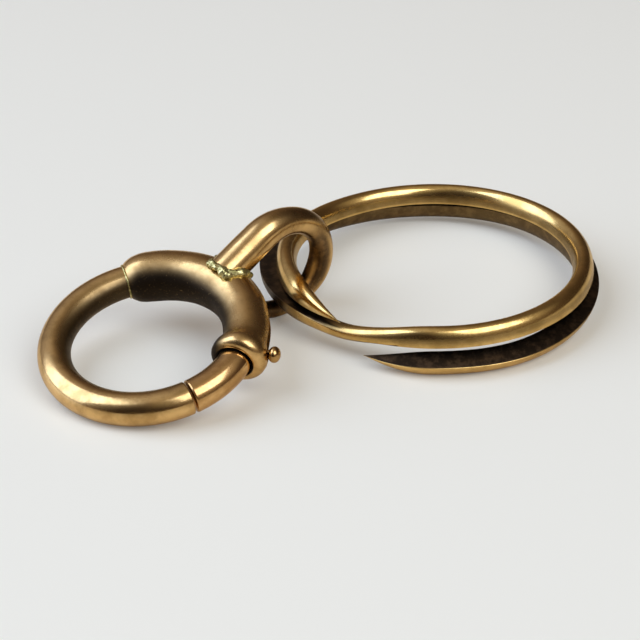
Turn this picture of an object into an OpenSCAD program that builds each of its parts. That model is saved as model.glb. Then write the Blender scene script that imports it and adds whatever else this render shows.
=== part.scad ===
// Bolt ring clasp with a soldered bail and a two-turn split ring linked through it.
// The set lies on its table as it comes to rest: +Z is up, the table is z = 0, and the origin is
// the middle of the footprint. The clasp ring's own frame has the ring's centre as its origin and
// the ring's axis as +Z; angles on it run counter-clockwise from +X, seen from above.

/* [Clasp ring] */
// Radius of the centreline of the clasp ring
ring_r = 6.2; // [5.6:0.1:7]
// Thickness of the fixed arm and of the bolt
wire_d = 2.16; // [1.9:0.02:2.3]
// Angle at which the fixed arm ends and the bolt meets it
mouth_at = -62; // [-66:1:-58]
// Gap between the end of the arm and the end of the bolt at rest
mouth_gap = 0.17; // [0.08:0.01:0.3]
// Angle at which the arm enters the rear of the housing
arm_joint_at = 107; // [100:1:112]
// Length of the arm that is inside the housing, as an angle
tenon_angle = 9; // [6:1:12]

/* [Housing] */
// Angle of the face of the lip that the bolt comes out of
lip_at = -25.5; // [-28:0.5:-23]
// Lean of the lip's face, which is set back on the outer side
lip_lean = 6.5; // [0:0.5:9]
// Largest thickness of the rear of the housing
rear_d = 3.38; // [3.2:0.02:3.5]
// Thickness of the housing under the bail
flank_d = 3.36; // [3.2:0.02:3.5]
// Thickness of the housing at the neck behind the bead
neck_d = 3.08; // [3:0.02:3.2]
// Thickness of the bead round the mouth
bead_d = 3.64; // [3.4:0.02:3.8]
// Running clearance between the bolt and its bore, on the radius
bore_clear = 0.05; // [0.02:0.01:0.08]
// Step by which the bore opens out at the mouth
mouth_flare = 0.09; // [0.05:0.01:0.12]
// Width of the slot that the thumb knob slides in
slot_w = 0.8; // [0.7:0.02:1]

/* [Bolt and knob] */
// Angle by which the bolt draws back
travel = 30; // [20:1:32]
// Angle of the thumb knob with the clasp closed
knob_at = -16; // [-18:0.5:-14]
// Angle of the rear end of the bolt with the clasp closed
bolt_rear_at = 6; // [2:1:10]
// Thickness of the knob's stem
stem_d = 0.54; // [0.4:0.02:0.6]
// Diameter of the knob's button
knob_d = 1.06; // [0.9:0.02:1.3]
// Thickness of the knob's button
knob_t = 0.8; // [0.6:0.02:0.9]
// How far the middle of the button stands out from the ring's centreline
knob_out = 2.24; // [2.2:0.01:2.5]

/* [Spring] */
// Thickness of the spring's wire
spring_wire = 0.26; // [0.2:0.02:0.34]
// Number of turns of the spring
spring_turns = 15; // [10:1:18]
// Clearance round the spring in its bore
spring_clear = 0.1; // [0.06:0.01:0.2]

/* [Bail] */
// Direction of the bail's plane, seen from above
bail_az = 40; // [36:1:42]
// Distance of the bail's plane from the ring's centre
bail_side = 0.4; // [0.2:0.1:0.6]
// Distance from the ring's centre to the middle of the loop
bail_out = 11.2; // [11:0.1:11.6]
// Half the length of the loop's centreline, along the plane
bail_a = 3.57; // [3.4:0.01:3.8]
// Half the height of the loop's centreline
bail_b = 3.2; // [3.1:0.01:3.5]
// Size of the solder bead round the foot of the bail
solder_r = 0.26; // [0.2:0.02:0.34]
// Slope of the upper leg
leg_rise = 29; // [26:1:32]
// Slope of the lower leg
low_rise = 40; // [36:1:44]
// Thickness of the wire at the upper leg
leg_d = 2.3; // [2.1:0.02:2.4]
// Thickness of the wire round the far side
bail_d = 1.62; // [1.4:0.02:1.7]
// Thickness of the wire where the split ring has worn it
bail_low_d = 1.2; // [1:0.02:1.3]

/* [Split ring] */
// Radius of the upper turn of the split ring, at the middle of its wire
split_r = 10.15; // [10:0.05:10.4]
// Width of the split ring's wire
split_w = 1.45; // [1.2:0.05:1.6]
// Height of the split ring's wire, from its flat to the crown of its dome
split_h = 1.2; // [1:0.05:1.3]
// Position of the split ring's centre to the right of the clasp ring's centre
split_x = 18.95; // [18.8:0.05:19.3]
// Position of the split ring's centre behind the clasp ring's centre
split_y = 10.8; // [10.6:0.05:11.1]
// How far the lower turn springs out at the front
splay = 0.95; // [0.7:0.05:1.1]
// Height of the upper turn's flat above that of the lower turn at the front
turn_lift = 0.45; // [0.3:0.05:0.7]
// Gap between the flats of the two turns at the back
turn_gap = 0.2; // [0.1:0.05:0.3]
// Gap between the split ring and the worn part of the bail
link_gap = 0.07; // [0.05:0.01:0.12]
// Outward roll of the lower turn at the front
roll = 20; // [10:1:25]

/* [Hidden] */
$fn = 48;

GOLD = "goldenrod";
PALE = "khaki";
STEEL = "slategray";

seat = 0.01;                    // gap between two soldered faces
bore_d = wire_d + 2 * bore_clear;
knob_r = ring_r + knob_out;
raise_az = 62.4;                // direction in which the clasp ring rises
tilt = 13.2;                    // slope of the clasp ring's plane
ring_z = wire_d / 2 + ring_r * sin(tilt);

// Footprint, from the arm's left side to the lower turn's right side and back
foot_x0 = -(ring_r * cos(tilt * cos(raise_az)) + wire_d / 2);
foot_x1 = split_x + split_r + 0.46 + split_w / 2;
foot_y0 = -(ring_r * cos(tilt * sin(raise_az)) + wire_d / 2);
foot_y1 = split_y + split_r + 0.14 + split_w / 2;

// ---- shared functions ----

function ease(x, a, b) = let (u = min(1, max(0, (x - a) / (b - a)))) u * u * (3 - 2 * u);

// Smooth curve through stations [x, y, ...]: the value in column c at x
function smooth_at(st, x, c, i = 0) =
    i < len(st) - 2 && x > st[i + 1][0] ? smooth_at(st, x, c, i + 1)
    : let (x0 = st[i][0], x1 = st[i + 1][0], h = x1 - x0, u = (x - x0) / h,
           m0 = slope_at(st, i, c) * h, m1 = slope_at(st, i + 1, c) * h)
      (2 * u * u * u - 3 * u * u + 1) * st[i][c] + (u * u * u - 2 * u * u + u) * m0
      + (3 * u * u - 2 * u * u * u) * st[i + 1][c] + (u * u * u - u * u) * m1;

function slope_at(st, i, c) =
    let (a = max(0, i - 1), b = min(len(st) - 1, i + 1)) (st[b][c] - st[a][c]) / (st[b][0] - st[a][0]);

// Skin over a row of rings that have the same number of points
module skin(rings) {
    n = len(rings[0]);
    last = len(rings) - 1;
    polyhedron(
        points = [for (r = rings) each r],
        faces = concat(
            [[for (k = [0:n - 1]) k]],
            [for (i = [0:last - 1], k = [0:n - 1])
                let (a = i * n + k, b = i * n + (k + 1) % n) each [[a, a + n, b + n], [a, b + n, b]]],
            [[for (k = [n - 1:-1:0]) last * n + k]]),
        convexity = 10);
}

// ---- clasp ring ----

module in_clasp() {
    translate([0, 0, ring_z])
        rotate([0, 0, raise_az]) rotate([0, -tilt, 0]) rotate([0, 0, -raise_az]) children();
}

module on_footprint() {
    translate([-(foot_x0 + foot_x1) / 2, -(foot_y0 + foot_y1) / 2, 0]) children();
}

// Part of a round rod bent to the ring's radius, between two angles
module bent_rod(d, a0, a1, out = 0) {
    rotate([0, 0, a0]) rotate_extrude(angle = a1 - a0) translate([ring_r + out, 0]) circle(d = d);
}

// Ring of points round the ring's centreline at an angle, its plane turned by a lean
function rod_ring(at, r, out, lean, n) = [for (k = [0:n - 1])
    let (t = -360 * k / n, q = ring_r + out, w = at + lean)
    [q * cos(at) + r * cos(t) * cos(w), q * sin(at) + r * cos(t) * sin(w), r * sin(t)]];

// Housing, from the lip to the shoulder: [angle, radius, shift outwards from the bore]
bead_mid = lip_at + 5.5;
housing_st = [
    [lip_at, bead_d / 2 - 0.3, 0.06],
    [lip_at + 1, bead_d / 2 - 0.13, 0.07],
    [lip_at + 3, bead_d / 2 - 0.02, 0.08],
    [bead_mid, bead_d / 2, 0.09],
    [bead_mid + 2.5, bead_d / 2 - 0.03, 0.09],
    [bead_mid + 5, bead_d / 2 - 0.12, 0.1],
    [bead_mid + 8, neck_d / 2 + 0.05, 0.11],
    [bead_mid + 11, neck_d / 2, 0.12],
    [bead_mid + 16, neck_d / 2 - 0.01, 0.13],
    [1.5, neck_d / 2 + 0.01, 0.13],
    [15, neck_d / 2 + 0.04, 0.17],
    [30, flank_d / 2 - 0.05, 0.22],
    [45, flank_d / 2, 0.23],
    [60, flank_d / 2, 0.18],
    [72, rear_d / 2 - 0.01, 0.11],
    [88, rear_d / 2, 0.04],
    [arm_joint_at - 11, rear_d / 2 - 0.04, 0.02],
    [arm_joint_at - 6, rear_d / 2 - 0.15, 0],
    [arm_joint_at - 2.5, rear_d / 2 - 0.33, 0],
    [arm_joint_at - 0.7, wire_d / 2 + 0.14, 0],
    [arm_joint_at, wire_d / 2 + 0.06, 0]];
function housing_r(at) = smooth_at(housing_st, at, 1);
function housing_out(at) = smooth_at(housing_st, at, 2);
function pick(a, b, n) = [for (i = [0:n]) a + (b - a) * i / n];
housing_angles = concat(pick(lip_at, lip_at + 4, 4), pick(bead_mid, bead_mid + 18, 9),
    pick(bead_mid + 25, arm_joint_at - 15, 12), pick(arm_joint_at - 11, arm_joint_at, 9));

module ring_arm() {
    color(GOLD) on_footprint() in_clasp()
        bent_rod(wire_d, arm_joint_at - tenon_angle, 360 + mouth_at - mouth_gap / ring_r * 180 / PI);
}

module housing() {
    color(GOLD) on_footprint() in_clasp() difference() {
        skin([for (a = housing_angles)
            rod_ring(a, housing_r(a), housing_out(a), lip_lean * (1 - ease(a, lip_at, bead_mid + 8)), 32)]);
        bent_rod(bore_d, lip_at - 8, arm_joint_at - tenon_angle + 0.5);
        bent_rod(wire_d + 2 * seat, arm_joint_at - tenon_angle, arm_joint_at + 5);
        bent_rod(bore_d + 2 * mouth_flare, lip_at - 8, lip_at + 1.6);
        // slot for the knob's stem, with the knob's travel and a round end at each stop
        rotate([0, 0, knob_at]) rotate_extrude(angle = travel)
            translate([ring_r + wire_d / 4, -slot_w / 2]) square([bead_d, slot_w]);
        for (a = [knob_at, knob_at + travel])
            rotate([0, 0, a]) translate([ring_r + wire_d / 4, 0, 0]) rotate([0, 90, 0])
                cylinder(d = slot_w + 0.04, h = bead_d);
    }
}

module bolt() {
    color(GOLD) on_footprint() in_clasp() difference() {
        bent_rod(wire_d, mouth_at, bolt_rear_at);
        rotate([0, 0, knob_at]) translate([ring_r, 0, 0]) rotate([0, 90, 0])
            cylinder(d = stem_d + 2 * seat, h = wire_d);
    }
}

module thumb_knob() {
    button_r = knob_d / 2 - knob_t / 2;
    color(GOLD) on_footprint() in_clasp() rotate([0, 0, knob_at]) rotate([0, 90, 0]) union() {
        translate([0, 0, ring_r + seat]) cylinder(d = stem_d, h = knob_r - ring_r);
        translate([0, 0, knob_r]) rotate_extrude() intersection() {
            union() {
                translate([button_r, 0]) circle(d = knob_t);
                translate([0, -knob_t / 2]) square([button_r, knob_t]);
            }
            translate([0, -knob_t]) square([knob_d, 2 * knob_t]);
        }
    }
}

// Coil wound round the bore's centreline, from the bolt's rear end to the arm's tenon
module spring() {
    coil_r = bore_d / 2 - spring_clear - spring_wire / 2;
    end_gap = (spring_wire / 2 + 0.03) / ring_r * 180 / PI;
    a0 = bolt_rear_at + end_gap;
    a1 = arm_joint_at - tenon_angle - end_gap;
    steps = spring_turns * 12;
    color(STEEL) on_footprint() in_clasp() skin([for (i = [0:steps])
        let (t = 360 * spring_turns * i / steps, at = a0 + (a1 - a0) * i / steps)
        [for (k = [0:5]) let (s = 60 * k, c = coil_r + spring_wire / 2 * cos(s), q = ring_r + c * cos(t),
                              w = at + spring_wire / 2 * sin(s) / ring_r * 180 / PI)
            [q * cos(w), q * sin(w), c * sin(t)]]]);
}

// ---- bail ----

bail_z = bail_low_d / 2 + bail_b;
leg_turn = 90 + atan(tan(leg_rise) * bail_a / bail_b);
low_turn = -90 - atan(tan(low_rise) * bail_a / bail_b);
function loop_at(t) = [bail_out + bail_a * cos(t), bail_z + bail_b * sin(t)];
leg_top = loop_at(leg_turn);
low_end = loop_at(low_turn);
leg_len = (leg_top[0] - ring_r) / cos(leg_rise);
low_len = (low_end[0] - ring_r - neck_d / 2) / cos(low_rise) + 0.6;
function leg_at(s) = leg_top - s * [cos(leg_rise), sin(leg_rise)];
function low_at(s) = low_end + s * [-cos(low_rise), sin(low_rise)];

// Thickness round the loop, by the angle of its turn
bail_st = [
    [-160, bail_low_d + 0.12], [low_turn, bail_low_d + 0.04], [-90, bail_low_d], [-60, bail_low_d + 0.1],
    [-30, bail_d], [25, bail_d], [75, bail_d + 0.25], [105, leg_d - 0.14],
    [leg_turn, leg_d - 0.06], [150, leg_d]];
function bail_r(t) = smooth_at(bail_st, t, 1) / 2;

module in_bail_plane() {
    rotate([0, 0, bail_az]) translate([0, bail_side, 0]) children();
}

// Ring of points round a place on the bail, across a direction in its plane
function bail_ring(p, dir, r, n) = [for (k = [0:n - 1]) let (t = -360 * k / n)
    [p[0] - r * cos(t) * sin(dir), r * sin(t), p[1] + r * cos(t) * cos(dir)]];
function loop_dir(t) = atan2(-bail_b * cos(t), bail_a * sin(t));

module bail() {
    n = 24;
    color(GOLD) on_footprint() difference() {
        in_bail_plane() skin(concat(
            [for (s = [leg_len, 1.6]) bail_ring(leg_at(s), leg_rise, leg_d / 2, n)],
            [for (i = [0:26]) let (t = leg_turn + (low_turn - leg_turn) * i / 26)
                bail_ring(loop_at(t), loop_dir(t), bail_r(t), n)],
            [bail_ring(low_at(low_len), 180 - low_rise, bail_r(-160), n)]));
        housing_cut(2 * seat);
    }
}

// Room that the housing takes under the bail, with a clearance on the diameter
module housing_cut(clear) {
    in_clasp() bent_rod(flank_d + clear, -10, 90, housing_out(45));
}

// A place beside the leg: how far down it, the angle round it and the distance from its axis
function by_leg(s, t, r) = let (p = leg_at(s))
    turn_z([p[0] - r * cos(t) * sin(leg_rise), bail_side + r * sin(t), p[1] + r * cos(t) * cos(leg_rise)],
        bail_az);
function turn_z(p, a) = [p[0] * cos(a) - p[1] * sin(a), p[0] * sin(a) + p[1] * cos(a), p[2]];
function turn_y(p, a) = [p[0] * cos(a) + p[2] * sin(a), p[1], p[2] * cos(a) - p[0] * sin(a)];

// Distance of a place from the housing's skin under the bail
function off_housing(p) = let (q = turn_y(turn_z(p - [0, 0, ring_z], -raise_az), tilt))
    norm([norm([q[0], q[1]]) - ring_r - housing_out(45), q[2]]) - flank_d / 2;

// Distance down the leg at which a line along it meets the housing, found by halving
function foot_s(t, r, a = 0, b = leg_len, i = 0) = let (m = (a + b) / 2)
    i > 14 ? m
    : off_housing(by_leg(m, t, r)) > 2 * seat ? foot_s(t, r, m, b, i + 1)
    : foot_s(t, r, a, m, i + 1);

// Ring of points across the solder bead: the corner, up the leg, two on the bulge, out on the housing
function bead_at(t) = let (
    front = max(0, cos(t - 300)),
    w = solder_r * (0.75 + 0.55 * front + 0.12 * sin(5 * t) + 0.08 * cos(3 * t + 40)), r = leg_d / 2 + seat,
    corner = by_leg(foot_s(t, r), t, r),
    high = by_leg(foot_s(t, r) - w, t, r),
    far = by_leg(foot_s(t, r + w), t, r + w),
    bulge = 0.25 * ((high + far) / 2 - corner))
    [corner, high, high * 0.65 + far * 0.35 + bulge, high * 0.3 + far * 0.7 + bulge, far];

// Bead of solder round the foot of the upper leg, seated on the leg and the housing
module bail_solder() {
    n = 36;
    m = 5;
    color(PALE) on_footprint() polyhedron(
        points = [for (i = [0:n - 1]) each bead_at(360 * i / n)],
        faces = [for (i = [0:n - 1], k = [0:m - 1])
            let (a = i * m, b = (i + 1) % n * m, j = (k + 1) % m)
                each [[a + k, b + j, b + k], [a + k, a + j, b + j]]],
        convexity = 10);
}

// Seam of solder round the arm where it enters the housing
module arm_solder() {
    color(PALE) on_footprint() in_clasp() rotate([0, 0, arm_joint_at + 0.1])
        rotate_extrude(angle = 1.3) translate([ring_r, 0]) difference() {
            circle(d = wire_d + 0.14);
            circle(d = wire_d + 2 * seat);
        }
}

// ---- split ring ----

low_level = split_h + 0.01;                              // flat of the lower turn on the table
bail_level = bail_low_d + link_gap + split_h;            // flat of the lower turn over the bail
top_level = bail_level + 0.07;                           // flat of the upper turn over the lower one
up_level = low_level + turn_lift;                        // flat of the upper turn at the back
tip_at = 229;                                            // bearing of the upper tip
wind = 706;                                              // angle at the lower tip
start = -3;                                              // angle at the upper tip
flat_crown = 0.03;                                       // rise of the worn flat, as a share of the height

// Stations along the wire: [angle wound, radius, level of the flat, roll]
split_st = [
    [start, split_r + 0.462 * split_w, top_level - 0.083 * split_h, 0],
    [0, split_r + 0.448 * split_w, top_level - 0.033 * split_h, 0],
    [24, split_r + 0.276 * split_w, top_level, 0],
    [46, split_r + 0.117 * split_w, top_level - 0.017 * split_h, 0],
    [66, split_r + 0.028 * split_w, top_level - 0.250 * split_h, 0],
    [86, split_r, up_level + 0.233 * split_h, 0],
    [108, split_r, up_level + 0.067 * split_h, 0],
    [139, split_r, up_level + 0.092 * split_h, 0],
    [229, split_r, up_level + 0.392 * split_h, 0],
    [319, split_r, up_level + 0.200 * split_h, 0],
    [340, split_r + 0.021 * split_w, up_level + 0.067 * split_h, 0],
    [356, split_r + 0.138 * split_w, up_level, 0],
    [371, split_r + 0.441 * split_w, bail_level - 0.333 * split_h, 0],
    [392, split_r + 0.855 * split_w, bail_level, 0],
    [410, split_r + 0.855 * split_w, bail_level - 0.042 * split_h, 0],
    [430, split_r + 0.690 * split_w, bail_level - 0.375 * split_h, 0],
    [450, split_r + 0.448 * split_w, up_level + 0.217 * split_h - turn_gap, 0],
    [470, split_r + 0.241 * split_w, up_level + 0.092 * split_h - turn_gap, 0],
    [499, split_r + 0.069 * split_w, up_level + 0.092 * split_h - turn_gap, 0],
    [544, split_r + 0.055 * split_w, up_level + 0.158 * split_h, 3],
    [589, split_r + 0.228 * split_w, up_level + 0.100 * split_h, 8],
    [620, split_r + 0.448 * split_w, low_level + 0.167 * split_h, 14],
    [650, split_r + splay - 0.07 * split_w, low_level - 0.025 * split_h, roll],
    [682, split_r + splay, low_level - 0.025 * split_h, roll],
    [wind, split_r + splay + 0.14 * split_w, low_level - 0.250 * split_h, roll]];

// Share of full size at the tips, and share of the dome that is below the flat
function tip_size(w) = max(0.1, min(sin(90 * min(1, (w - start) / 29)), sin(90 * min(1, (wind - w) / 24))));
function turned(w) = ease(w, 328, 380);
function slim(w) = 1 - 0.18 * ease(w, 322, 346) * (1 - ease(w, 362, 385));

// Ring of points across the wire: a dome on one side, a flat on the other
function split_ring_at(w, n) = let (
    at = tip_at - w, r = smooth_at(split_st, w, 1), z = smooth_at(split_st, w, 2),
    g = smooth_at(split_st, w, 3), s = tip_size(w) * slim(w),
    a = split_w / 2 * s, up = split_h * s * max(flat_crown, 1 - turned(w)),
    dn = split_h * s * max(flat_crown, turned(w)))
    [for (k = [0:n - 1]) let (t = 360 * k / n, x = a * cos(t), y = (sin(t) > 0 ? up : dn) * sin(t),
        q = r + x * cos(g) + y * sin(g), h = z - x * sin(g) + y * cos(g)) [q * cos(at), q * sin(at), h]];

module split_ring() {
    steps = 150;
    color(GOLD) on_footprint() translate([split_x, split_y, 0])
        skin([for (i = [0:steps]) split_ring_at(start + (wind - start) * i / steps, 16)]);
}

ring_arm();
housing();
bolt();
thumb_knob();
spring();
bail();
bail_solder();
arm_solder();
split_ring();
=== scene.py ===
# %% [markdown]
# # An old gold bolt ring clasp with its split ring
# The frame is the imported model: bodies, joints and solids that are already the right size and in
# the right place. This script gives it its looks. Each piece is modelled again here with a fine,
# smooth surface and stands for its CAD node, and then every metal gets its own finish. Everything
# is in metres; the sizes are written in millimetres times MM, and the angles in degrees.

# %% Load the frame
from math import atan, atan2, cos, degrees, pi, radians, sin, tan
import bpy
from mathutils import Matrix, Vector


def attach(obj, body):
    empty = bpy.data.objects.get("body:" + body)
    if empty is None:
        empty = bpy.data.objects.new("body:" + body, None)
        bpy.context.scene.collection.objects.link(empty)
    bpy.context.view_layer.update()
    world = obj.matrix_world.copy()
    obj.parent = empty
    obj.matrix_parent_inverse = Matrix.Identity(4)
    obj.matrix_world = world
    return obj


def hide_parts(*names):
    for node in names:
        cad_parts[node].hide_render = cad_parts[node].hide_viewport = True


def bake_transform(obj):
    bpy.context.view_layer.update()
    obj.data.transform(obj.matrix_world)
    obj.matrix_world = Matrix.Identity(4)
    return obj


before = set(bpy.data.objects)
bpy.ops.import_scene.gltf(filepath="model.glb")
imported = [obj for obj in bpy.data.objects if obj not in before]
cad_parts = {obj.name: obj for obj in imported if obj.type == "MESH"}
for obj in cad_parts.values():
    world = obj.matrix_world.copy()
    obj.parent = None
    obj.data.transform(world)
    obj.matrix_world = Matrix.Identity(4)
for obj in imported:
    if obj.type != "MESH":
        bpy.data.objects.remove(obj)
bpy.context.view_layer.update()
MM = 0.001
print("CAD nodes:", sorted(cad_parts))

# %% [markdown]
# ## Helpers
# Most pieces here are wires: a section that travels along a path. A few helpers do what every
# piece needs: select it alone, put a move into its mesh, take one shape out of another, and read
# a smooth value between the stations at which a wire's thickness is given.

# %% Selecting, and smooth values between stations
SHARP = 42  # edges turned by more than this many degrees stay crisp
WELD = 0.000002  # points closer than this are merged


def only(piece=None):
    """Leaves edit mode and selects this piece alone, or nothing."""
    if bpy.context.object and bpy.context.object.mode != "OBJECT":
        bpy.ops.object.mode_set(mode="OBJECT")
    bpy.ops.object.select_all(action="DESELECT")
    if piece:
        piece.select_set(True)
        bpy.context.view_layer.objects.active = piece


def ease(x, a, b):
    """Nought where x is a, one where it is b, and a soft step in between."""
    u = min(1, max(0, (x - a) / (b - a)))
    return u * u * (3 - 2 * u)


def between(stations, x, column=1):
    """The value in a column at x, on a smooth curve through the stations."""
    xs = [s[0] for s in stations]
    i = max(k for k in range(len(xs) - 1) if k == 0 or xs[k] <= x)
    h = xs[i + 1] - xs[i]
    u = (x - xs[i]) / h

    def slope(k):
        a, b = max(0, k - 1), min(len(xs) - 1, k + 1)
        return (stations[b][column] - stations[a][column]) / (xs[b] - xs[a]) * h
    p, q = stations[i][column], stations[i + 1][column]
    return ((2 * u ** 3 - 3 * u ** 2 + 1) * p + (u ** 3 - 2 * u ** 2 + u) * slope(i)
            + (3 * u ** 2 - 2 * u ** 3) * q + (u ** 3 - u ** 2) * slope(i + 1))

# %% Placing, cutting and finishing a piece
def settle(piece, place):
    """Puts the selected piece in place by a matrix, and puts the move into its mesh."""
    piece.matrix_world = place
    bpy.ops.object.transform_apply(location=True, rotation=True, scale=True)


def face_outwards(piece):
    """Turns all the faces to point out of the piece."""
    only(piece)
    bpy.ops.object.mode_set(mode="EDIT")
    bpy.ops.mesh.select_all(action="SELECT")
    bpy.ops.mesh.normals_make_consistent(inside=False)
    bpy.ops.object.mode_set(mode="OBJECT")


def subtract(piece, tool, name):
    """Takes the tool's shape out of the piece, and throws the tool away."""
    face_outwards(tool)
    face_outwards(piece)
    cut = piece.modifiers.new(name, "BOOLEAN")
    cut.operation = "DIFFERENCE"
    cut.solver = "EXACT"
    cut.object = tool
    bpy.ops.object.modifier_apply(modifier=cut.name)
    only()
    bpy.data.objects.remove(tool, do_unlink=True)


def finish_piece(piece, name, body, node, place=None, outwards=True):
    """Names the piece, puts it in place, and lets it stand for its CAD node."""
    only(piece)
    piece.name = piece.data.name = name
    if place is not None:
        settle(piece, place)
    bpy.ops.object.mode_set(mode="EDIT")
    bpy.ops.mesh.select_all(action="SELECT")
    bpy.ops.mesh.remove_doubles(threshold=WELD)
    if outwards:
        bpy.ops.mesh.normals_make_consistent(inside=False)
    bpy.ops.object.mode_set(mode="OBJECT")
    bpy.ops.object.shade_smooth_by_angle(angle=radians(SHARP))
    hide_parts(node)
    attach(piece, body)
    print(name, len(piece.data.vertices), "vertices")
    only()
    return piece


print("helpers ready; edges sharper than", SHARP, "degrees stay crisp")

# %% [markdown]
# ## The ring's own plane
# The clasp ring doesn't lie flat: the bail props it up, so its plane leans. Its pieces are
# modelled flat, round the origin, where a spin is easy, and this one matrix then leans them into
# place.

# %% Sizes and the leaning plane
RING_R = 6.2  # radius of the ring, at the middle of its wire
WIRE_R = 1.08
LEAN = radians(13.2)  # slope of the ring's plane
RISE = radians(62.4)  # direction in which it rises
CENTRE = Vector((-11.5201, -7.33189, 2.49578))
GROUND = Vector((CENTRE.x, CENTRE.y, 0))
CLASP = (Matrix.Translation(CENTRE * MM) @ Matrix.Rotation(RISE, 4, "Z")
         @ Matrix.Rotation(-LEAN, 4, "Y") @ Matrix.Rotation(-RISE, 4, "Z"))
CLASP_BACK = (Matrix.Rotation(RISE, 4, "Z") @ Matrix.Rotation(LEAN, 4, "Y")
              @ Matrix.Rotation(-RISE, 4, "Z"))
# Angles round the ring: the arm's joint, the mouth, the housing's lip, the knob, the bolt's rear
ARM_JOINT, MOUTH, LIP, KNOB_AT, BOLT_REAR = 107, -62, -25.5, -16, 6
TENON = 9  # how far the arm goes into the housing
TRAVEL = 30  # how far the bolt draws back
print("ring: radius", RING_R, "mm, wire", 2 * WIRE_R, "mm, travel", TRAVEL, "degrees")

# %% Helpers that work round the ring
def open_ring(at, radius, sides=64):
    """An open circle across the ring's wire, at an angle round the ring, in edit mode."""
    only()
    bpy.ops.mesh.primitive_circle_add(vertices=sides, radius=radius * MM, fill_type="NOTHING",
                                      location=(RING_R * MM, 0, 0), rotation=(pi / 2, 0, 0))
    circle = bpy.context.object
    bpy.ops.object.transform_apply(location=True, rotation=True, scale=True)
    settle(circle, Matrix.Rotation(radians(at), 4, "Z"))
    bpy.ops.object.mode_set(mode="EDIT")
    bpy.ops.mesh.select_all(action="SELECT")
    return circle


def spin_on(angle, steps=1):
    """Spins what is selected round the middle; with no window, spin turns the other way."""
    bpy.ops.mesh.spin(steps=steps, angle=-radians(angle), center=(0, 0, 0), axis=(0, 0, 1))


def section_at(at, out=0.0):
    """The middle of the section at an angle round the ring, moved outwards a little."""
    return Vector(((RING_R + out) * cos(radians(at)), (RING_R + out) * sin(radians(at)), 0)) * MM


def close_ends():
    """Fills the open ends, in edit mode, and leaves edit mode."""
    bpy.ops.mesh.select_all(action="DESELECT")
    bpy.ops.mesh.select_mode(type="EDGE")
    bpy.ops.mesh.select_non_manifold(extend=False, use_wire=False, use_boundary=True,
                                     use_multi_face=False, use_non_contiguous=False,
                                     use_verts=False)
    bpy.ops.mesh.fill_holes(sides=0)
    bpy.ops.mesh.select_mode(type="VERT")
    bpy.ops.object.mode_set(mode="OBJECT")


def soften(piece, width, angle=50, segments=3):
    """Rounds the sharp edges, as wear does."""
    only(piece)
    edge = piece.modifiers.new("worn edges", "BEVEL")
    edge.width = width * MM
    edge.segments = segments
    edge.limit_method = "ANGLE"
    edge.angle_limit = radians(angle)
    bpy.ops.object.modifier_apply(modifier=edge.name)


print("ring's middle:", [round(x, 2) for x in CENTRE])

# %% [markdown]
# ## The arm and the bolt
# The fixed half of the ring is one bent round wire. So is the bolt that slides out to meet it,
# and both end in a flat face at the mouth. A circle spun round the ring's middle is exactly such
# a wire. Real ends are never razor sharp, so a small bevel catches the light there.

# %% Spin the arm and the bolt
WIRE_STEP = 1.2  # degrees from one section to the next
ARM_EDGE, BOLT_EDGE = 0.05, 0.11  # the bolt's end is rubbed rounder than the arm's
MOUTH_GAP = degrees(0.17 / RING_R)  # 0.17 mm is left between the arm and the bolt


def bent_wire(first, last, radius, worn):
    """A round wire from one angle to another, with worn edges at its flat ends."""
    wire = open_ring(first, radius)
    spin_on(last - first, steps=round(abs(last - first) / WIRE_STEP))
    close_ends()
    soften(wire, worn)
    return wire


ring_arm = finish_piece(bent_wire(ARM_JOINT - TENON, 360 + MOUTH - MOUTH_GAP, WIRE_R, ARM_EDGE),
                        "ring_arm_wire", "clasp", "ring_arm", CLASP)
bolt = finish_piece(bent_wire(MOUTH, BOLT_REAR, WIRE_R, BOLT_EDGE), "bolt_rod", "bolt", "bolt",
                    CLASP)

# %% [markdown]
# ## The housing
# The thicker half is a tube. Its bore is the same all through, but outside it swells to a bead
# round the mouth, draws in to a neck, and rounds off to a shoulder where the arm enters. It is
# grown in one go: the bore is spun from its blind end up to the lip, the lip is turned over by
# shrinking and growing the last circle, and the outside is spun back in short steps, each one
# resized.

# %% Thickness of the housing: angle, radius, and how far its middle lies outside the bore's
HOUSING = [
    (-25.5, 1.45, 0.06), (-24.8, 1.58, 0.07), (-23.8, 1.70, 0.07), (-22.2, 1.79, 0.08),
    (-20, 1.82, 0.09), (-17.5, 1.79, 0.09), (-15, 1.70, 0.10), (-12, 1.59, 0.11),
    (-9, 1.54, 0.12), (-4, 1.53, 0.13), (1.5, 1.55, 0.13), (15, 1.58, 0.17), (30, 1.63, 0.22),
    (45, 1.68, 0.23), (60, 1.68, 0.18), (72, 1.68, 0.11), (88, 1.69, 0.04), (96, 1.65, 0.02),
    (101, 1.54, 0.0), (104.5, 1.36, 0.0), (106.3, 1.22, 0.0), (107, 1.14, 0.0)]
FLANK_R, FLANK_OUT = 1.68, 0.23  # the housing under the bail
BORE_R, BORE_END = 1.13, ARM_JOINT - TENON
FLARE = 1.6  # over these last degrees the bore opens out
# Round the lip, from the bore to the outside: angle, how far outwards, radius
LIP_TURN = [
    (LIP + 1.55, 0.0, BORE_R + 0.02), (LIP + 1.5, 0.0, BORE_R + 0.08),
    (LIP + 1.2, 0.0, BORE_R + 0.09), (LIP + 0.3, 0.0, BORE_R + 0.09), (LIP, 0.01, BORE_R + 0.1),
    (LIP - 0.15, 0.02, BORE_R + 0.14), (LIP - 0.2, 0.03, BORE_R + 0.19),
    (LIP - 0.16, 0.04, 1.36), (LIP - 0.05, 0.05, 1.42)]
LIP_LEAN, LEAN_SPAN, LEAN_OUT = 6.5, 15, 0.1  # the lip leans; the lean dies out over the span
print("housing:", len(HOUSING), "stations, thickest", 2 * max(s[1] for s in HOUSING), "mm")

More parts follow.
